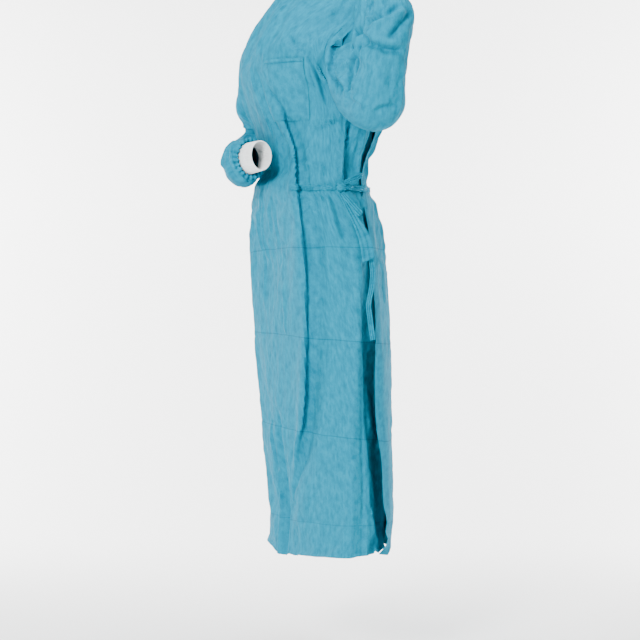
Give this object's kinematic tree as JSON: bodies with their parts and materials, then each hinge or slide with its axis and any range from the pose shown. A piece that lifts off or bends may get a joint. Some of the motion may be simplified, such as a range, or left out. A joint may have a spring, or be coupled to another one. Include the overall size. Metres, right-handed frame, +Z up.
{
  "type": "isolation gown",
  "caption": "Long-sleeved wrap-back isolation gown in its worn, hollow form, with knit cuffs, a chest pocket and waist ties in a bow at the left side; it covers a wearer's clothes.",
  "frame": {"origin": "between the shoulders, level with the shoulder tips, where a hanger or a wearer's shoulders hold the gown", "axes": "+Z up, -Y out of the gown's front, +X to the wearer's left"},
  "size_m": [0.7982, 0.3742, 1.3134],
  "materials": {
    "gown_cloth": "semi-matte nonwoven",
    "cuff_knit": "matte rib knit"
  },
  "bodies": {
    "root": {"front_panel": "gown_cloth", "left_back": "gown_cloth", "right_back": "gown_cloth", "left_sleeve": "gown_cloth", "right_sleeve": "gown_cloth", "neck_binding": "gown_cloth", "chest_pocket": "gown_cloth", "tie_left": "gown_cloth", "tie_right": "gown_cloth", "tie_knot": "gown_cloth", "loop_up": "gown_cloth", "loop_down": "gown_cloth", "tail_short": "gown_cloth", "tail_long": "gown_cloth", "left_cuff": "cuff_knit", "right_cuff": "cuff_knit"}
  },
  "joints": []
}
